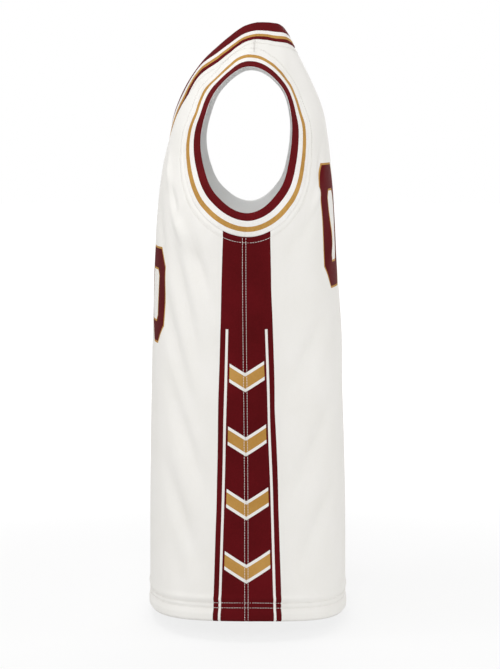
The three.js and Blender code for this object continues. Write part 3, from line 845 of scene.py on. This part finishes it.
# Neck and armhole bands. Each is a rib-knit strip 31 mm wide in two layers, dyed in stripes
# along its length, laid over the opening's raw edge, rolled there and joined at the shoulder.
rib_cloth = 2.0
rib_proud = 0.5  # how far the face stands over the panels
rib_swell = 0.25
sewn_width = 1.6
sewn_drop = 0.95
# The strip's section: the edge rolled over within 1 mm, the face, which swells a little, the
# edge sewn down, and the inside back
roll = np.linspace(0, 1, 7)
face = np.linspace(1, trim_width - sewn_width, 20)
down = np.linspace(0.2, 1, 5)
inside_back = np.linspace(trim_width, 1, 12)
section_across = np.concatenate([
    1 - np.cos(roll[:-1] * side), face, trim_width - sewn_width + sewn_width * down,
    inside_back, 1 - np.sin(roll[1:-1] * side),
])
section_depth = np.concatenate([
    rib_cloth / 2 - rib_proud - np.sin(roll[:-1] * side) * rib_cloth / 2,
    -rib_proud - rib_swell * np.sin(np.pi * (face - 1) / (face[-1] - 1)),
    -rib_proud + sewn_drop * down**2,
    rib_cloth - rib_proud + 0 * inside_back,
    rib_cloth / 2 - rib_proud + np.cos(roll[1:-1] * side) * rib_cloth / 2,
])
section_inside = np.arange(len(section_across)) >= len(roll) - 1 + len(face) + len(down)
band_pucker_reach = 9.0
band_pucker_rise = 20.0


def striped_rib(name, stripes):
    """Rib knit with stripes: matt wool-like surface, ribs across the strip. Reads
    cloth = (mm across from the opening, mm along, 0). Stripes are (from mm, colour pair)."""
    material, tree, shader = new_material(
        name, Roughness=0.8, Specular_IOR_Level=0.1, Sheen_Weight=0.01, Sheen_Roughness=0.4,
    )
    cloth_at = add(tree, "Attribute", attribute_name="cloth").outputs["Vector"]
    across, along, _ = add(tree, "SeparateXYZ", {0: cloth_at}).outputs
    place = add(tree, "TexCoord").outputs["Object"]
    # Fleck of 2.6 mm, and patches about 33 mm across
    fleck = add(tree, "TexNoise", {"Vector": place, "Scale": 380.0, "Detail": 3.0})
    patch = add(tree, "TexNoise", {"Vector": place, "Scale": 30.0, "Detail": 2.0})
    vary = add(tree, "Math", {0: fleck, 1: patch}, operation="ADD")
    vary = add(tree, "MapRange", {0: vary, 1: 0.75, 2: 1.25})
    colour = None
    for start, (plain, deep) in stripes:
        dyed = add(tree, "Mix", {0: vary, 6: plain, 7: deep}, data_type="RGBA").outputs[2]
        if colour is None:
            colour = dyed
            continue
        beyond = add(tree, "Math", {0: across, 1: start}, operation="GREATER_THAN")
        colour = add(tree, "Mix", {0: beyond, 6: colour, 7: dyed}, data_type="RGBA").outputs[2]
    tree.links.new(colour, shader.inputs["Base Color"])
    # Ribs 1.9 mm apart, as on 1 x 1 rib, and the loops of the courses across them, 1.1 mm
    # apart, raised by 0.18 mm
    rib = add(tree, "Math", {0: along, 1: 2 * np.pi / 1.9}, operation="MULTIPLY")
    rib = add(tree, "Math", {0: rib}, operation="SINE")
    course = add(tree, "Math", {0: across, 1: 2 * np.pi / 1.1}, operation="MULTIPLY")
    course = add(tree, "Math", {0: course}, operation="SINE")
    course = add(tree, "Math", {0: course, 1: 0.35}, operation="MULTIPLY")
    loops = rib
    for part in (course, fleck):
        loops = add(tree, "Math", {0: loops, 1: part}, operation="ADD")
    knit = add(tree, "Bump", {"Strength": 0.4, "Distance": 0.00018, "Height": loops})
    tree.links.new(knit.outputs[0], shader.inputs["Normal"])
    return material


def make_band(name, edge, material, node):
    """A band: its section carried round the opening's edge and closed on itself."""
    turn, run = walk(edge, section_across)
    along = lengths(form(edge[0][:, 0], edge[0][:, 1]))[:, None]
    lift = ripple(along, trim_width - section_across, band_pucker_reach)
    lift = lift * smooth(section_across / band_pucker_rise)
    shape = on_cloth(turn, run, lift - section_depth)
    count, corners = turn.shape
    marks = np.stack([section_across + 0 * turn, along + 0 * turn, 0 * turn], -1)
    number = np.arange(count * corners).reshape(count, corners)
    after = np.roll(number, -1, 0)
    faces = np.stack([number, np.roll(number, -1, 1), np.roll(after, -1, 1), after], -1)
    looks = (section_inside[None, :] + np.zeros((count, 1))).astype(int)
    piece = make_piece(
        name, shape.reshape(-1, 3), faces.reshape(-1, 4), [material, reverse_cloth],
        looks.ravel(), marks.reshape(-1, 3),
    )
    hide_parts(node)
    return piece


def mirrored(edge):
    """The same edge on the other side of the jersey."""
    spots, heading = edge
    return spots * (-1, 1, 1, 1, 1), heading * (-1, 1, 1)


maroon_rib = linear("660D14"), linear("57090E")
white_rib = linear("EFEDEA"), linear("E6E3DF")
gold_rib = linear("C0944F"), linear("AE8241")
neck_mirrored = mirrored(neck)
neck_ring = tuple(np.concatenate([a, b[1:-1][::-1]]) for a, b in zip(neck, neck_mirrored))
neck_band = make_band("neck_rib", neck_ring, striped_rib("striped rib knit, neck", [
    (0.0, maroon_rib), (16.0, white_rib), (22.0, gold_rib), (26.5, maroon_rib),
]), "neck_band")

armhole_rib = striped_rib("striped rib knit, armholes", [
    (0.0, maroon_rib), (10.5, white_rib), (18.0, gold_rib), (24.5, white_rib),
])
armhole_right = mirrored(armhole)
band_left = make_band("armhole_rib_left", armhole, armhole_rib, "armhole_band_left")
band_right = make_band("armhole_rib_right", armhole_right, armhole_rib, "armhole_band_right")

# Stitching. Spun polyester thread, lockstitched in rows: two beside each side seam, two round
# the hem, and one outside each band and along each shoulder. Drawn 0.7 mm thick, about
# twice the real thread, so that the rows show.
thread_radius = 0.35
thread_sides = 6
stitch_pitch = 3.4
stitch_share = 0.8
# Stations of a stitch: share of its length, height over the row's line, share of the thread
stitch_at = np.array([0.0, 0.3, 0.7, 1.0])
stitch_arch = np.array([-0.3, 0.25, 0.25, -0.3])
stitch_thick = np.array([0.55, 1.0, 1.0, 0.55])
beside_seam = 2.2
# How far the rows' lines lie over the cloth
row_lift = 0.15
cover_lift = 0.25
shoulder_lift = 0.1


def sewing_thread():
    """White thread with a slight gloss, uneven by 0.1 mm over about 3.3 mm of its length."""
    material, tree, shader = new_material(
        "spun polyester thread", Roughness=0.6, Specular_IOR_Level=0.3, Sheen_Weight=0.05,
    )
    place = add(tree, "TexCoord").outputs["Object"]
    fleck = add(tree, "TexNoise", {"Vector": place, "Scale": 300.0, "Detail": 1.0})
    yarn, shade = linear("F0EEEA"), linear("DFDAD5")
    colour = add(tree, "Mix", {0: fleck, 6: yarn, 7: shade}, data_type="RGBA").outputs[2]
    tree.links.new(colour, shader.inputs["Base Color"])
    twist = add(tree, "Bump", {"Strength": 0.3, "Distance": 0.0001, "Height": fleck})
    tree.links.new(twist.outputs[0], shader.inputs["Normal"])
    return material


thread = sewing_thread()


def stitch_rows(name, rows):
    """Rows of stitches. Each row is (turn, run, lift) along a line; a stitch is a six-sided
    thread over four stations that dips into the cloth at both ends."""
    points, faces, start = [], [], 0
    angle = np.arange(thread_sides) * np.pi / (thread_sides / 2)
    stations = len(stitch_at)
    for turn, run, lift in rows:
        path = on_cloth(turn, run, lift)
        normals = slopes(turn, run)[2]
        along = lengths(path)
        count = int(along[-1] / stitch_pitch)
        place = np.arange(count)[:, None] + (1 - stitch_share) / 2 + stitch_share * stitch_at
        place = place * along[-1] / count
        centre = np.stack([np.interp(place, along, path[:, k]) for k in range(3)], -1)
        out = np.stack([np.interp(place, along, normals[:, k]) for k in range(3)], -1)
        forward = np.gradient(centre, axis=1)
        forward /= np.linalg.norm(forward, axis=-1, keepdims=True)
        beside = np.cross(forward, out)
        centre = centre + out * stitch_arch[:, None]
        ring = centre[:, :, None] + (thread_radius * stitch_thick)[:, None, None] * (
            np.cos(angle)[:, None] * out[:, :, None] + np.sin(angle)[:, None] * beside[:, :, None]
        )
        number = start + np.arange(ring[..., 0].size).reshape(count, stations, thread_sides)
        around = np.roll(number, -1, 2)
        walls = np.stack([number[:, :-1], around[:, :-1], around[:, 1:], number[:, 1:]], -1)
        first, last = number[:, 0], number[:, -1]
        points.append(ring.reshape(-1, 3))
        faces += [
            walls.reshape(-1, 4), first[:, [3, 2, 1, 0]], first[:, [5, 4, 3, 0]],
            last[:, [0, 1, 2, 3]], last[:, [0, 3, 4, 5]],
        ]
        start += number.size
    return make_piece(name, np.concatenate(points), np.concatenate(faces), [thread])


def seam_rows_at(turn_sign, count=260):
    """Two rows beside a side seam, from the hem to the underarm."""
    start, end = level_run(side, hem_z["side"]) + 1, front_lines[3][underarm_row] - 1
    run = np.linspace(start, end, count)
    per_turn = np.linalg.norm(slopes(side + 0 * run, run)[0], axis=-1)
    lift = side_lift(beside_seam, run) + hem_lift(run - start + 1, beside_seam) + row_lift
    return [
        (turn_sign * (side + beside / per_turn), run, lift)
        for beside in (-beside_seam, beside_seam)
    ]


def hem_rows_at(lines, count=181):
    """Two rows round the hem, hem_stitches above its edge, from seam to seam."""
    rows = []
    share = np.linspace(0, 1, count)
    for height in hem_stitches:
        place = np.interp(height, heights, np.arange(len(heights)))
        low = int(place)
        turn_low, run_low = panel_rows(lines, np.array([low]), share)
        turn_high, run_high = panel_rows(lines, np.array([low + 1]), share)
        turn = turn_low + (turn_high - turn_low) * (place - low)
        run = run_low + (run_high - run_low) * (place - low)
        from_side = np.abs(girth(turn, run, side))
        lift = hem_lift(height + 0 * run, from_side) + row_lift
        flip = slice(None, 0, -1)
        around = -turn if lines is front_lines else 2 * np.pi - turn
        rows.append((
            np.concatenate([around[flip], turn]), np.concatenate([run[flip], run]),
            np.concatenate([lift[flip], lift]),
        ))
    return rows


def cover_rows(edge, top, signs):
    """Rows on the front and back panels, cover_at outside a band and parallel to it."""
    rows = []
    for panel in ("front", "back"):
        turn, run = seam_line(edge, top, panel, beyond=cover_at)
        along = nearest(form(turn, run), form(*seam_line(edge, top, panel)))[1]
        lift = trim_lift(cover_at + 0 * run, along) + cover_lift
        rows += [(sign * turn, run, lift) for sign in signs]
    return rows


def shoulder_rows(sign, count=30):
    """A row each side of a shoulder seam, from band to band."""
    neck_turn = walk(neck, np.array([trim_width]))[0][neck_top, 0]
    arm_turn = walk(armhole, np.array([trim_width]))[0][armhole_top, 0]
    turn = np.linspace(neck_turn, arm_turn, count)
    run, lift = np.full(count, top_run - beside_seam), np.full(count, shoulder_lift)
    return [(sign * turn, run, lift), (sign * (np.pi - turn), run, lift)]


side_stitches = [
    stitch_rows("side_seam_stitches_left", seam_rows_at(1)),
    stitch_rows("side_seam_stitches_right", seam_rows_at(-1)),
]
front_hem = stitch_rows("front_hem_stitches", hem_rows_at(front_lines))
back_hem = stitch_rows("back_hem_stitches", hem_rows_at(back_lines))
arm_stitches = [
    stitch_rows("armhole_stitches_left", cover_rows(armhole, armhole_top, (1,))),
    stitch_rows("armhole_stitches_right", cover_rows(armhole, armhole_top, (-1,))),
]
neck_stitches = stitch_rows("neck_stitches", cover_rows(neck, neck_top, (1, -1)))
shoulder_stitches = [
    stitch_rows("shoulder_stitches_left", shoulder_rows(1)),
    stitch_rows("shoulder_stitches_right", shoulder_rows(-1)),
]

# The stage: pale paper on the floor just under the hem, a white room, five softboxes and the
# photograph's camera. The camera sees the paper glow evenly round the jersey, so that only
# shadows show on it, and turn white between 0.9 and 2 m from the origin.
floor_z = -0.785
floor_reach = 14.0
glow_from, glow_to = 0.9, 2.0
glow_near, glow_far = 0.777, 1.0
paper_light = 0.53  # what the paper and the room throw back on the cloth
room_light = 0.52
mesh = bpy.data.meshes.new("studio_floor")
mesh.from_pydata([
    (x * floor_reach, y * floor_reach, floor_z) for x, y in ((-1, -1), (1, -1), (1, 1), (-1, 1))
], [], [(0, 1, 2, 3)])
studio_floor = bpy.data.objects.new("studio_floor", mesh)
bpy.context.scene.collection.objects.link(studio_floor)
paper, tree, shader = new_material(
    "white background paper", Roughness=0.9, Specular_IOR_Level=0.0,
    Base_Color=linear("777777"), Emission_Color=(1.0, 1.0, 1.0, 1.0),
)
seen = add(tree, "LightPath").outputs["Is Camera Ray"]
place = add(tree, "TexCoord").outputs["Object"]
spot = add(tree, "VectorMath", {0: place}, operation="LENGTH").outputs["Value"]
near = add(
    tree, "MapRange", {0: spot, 1: glow_from, 2: glow_to, 3: glow_near, 4: glow_far},
    interpolation_type="SMOOTHSTEP",
)
glow = add(tree, "MapRange", {0: seen, 3: paper_light, 4: near})
tree.links.new(glow.outputs[0], shader.inputs["Emission Strength"])
mesh.materials.append(paper)

world = bpy.data.worlds.new("studio")
bpy.context.scene.world = world
world.use_nodes = True
sky = world.node_tree.nodes["Background"]
seen = add(world.node_tree, "LightPath").outputs["Is Camera Ray"]
glow = add(world.node_tree, "MapRange", {0: seen, 3: room_light, 4: 1.0})
world.node_tree.links.new(glow.outputs[0], sky.inputs["Strength"])
sky.inputs["Color"].default_value = (1.0, 1.0, 1.0, 1.0)


def softbox(name, place, aim, size, power):
    """A square area light at a place, turned to face a point; size in metres, power in watts."""
    light = bpy.data.lights.new(name, "AREA")
    light.size, light.energy = size, power
    lamp = bpy.data.objects.new(name, light)
    bpy.context.scene.collection.objects.link(lamp)
    lamp.location = place
    way = Vector(aim) - Vector(place)
    lamp.rotation_mode = "QUATERNION"
    lamp.rotation_quaternion = way.to_track_quat("-Z", "Y")


softbox("key", (3.2, -0.1, 0.8), (0, 0, -0.4), 0.8, 26)
softbox("top", (0.6, -0.6, 2.1), (0, 0, -0.3), 1.2, 21)
softbox("left", (0.8, -2.8, 0.2), (0, 0, -0.45), 1.4, 19)
softbox("right", (0.7, 2.8, -0.25), (0, 0, -0.45), 1.2, 25)
softbox("far", (-2.6, 0.2, 0.1), (0, 0, -0.3), 1.4, 33)

# The camera's place in metres, and its tilt down and its turn in degrees, were fitted to the
# armholes and the hem as the photograph shows them
camera_place = (3.3, 0.0306, -0.085)
camera_tilt = 5.433
camera_turn = 90.479
camera_data = bpy.data.cameras.new("camera")
camera = bpy.data.objects.new("camera", camera_data)
bpy.context.scene.collection.objects.link(camera)
camera.location = camera_place
camera.rotation_euler = (np.radians(90 - camera_tilt), 0, np.radians(camera_turn))
camera_data.lens = 128.7
camera_data.sensor_width = 36.0
bpy.context.scene.camera = camera
bpy.context.scene.view_settings.view_transform = "Standard"
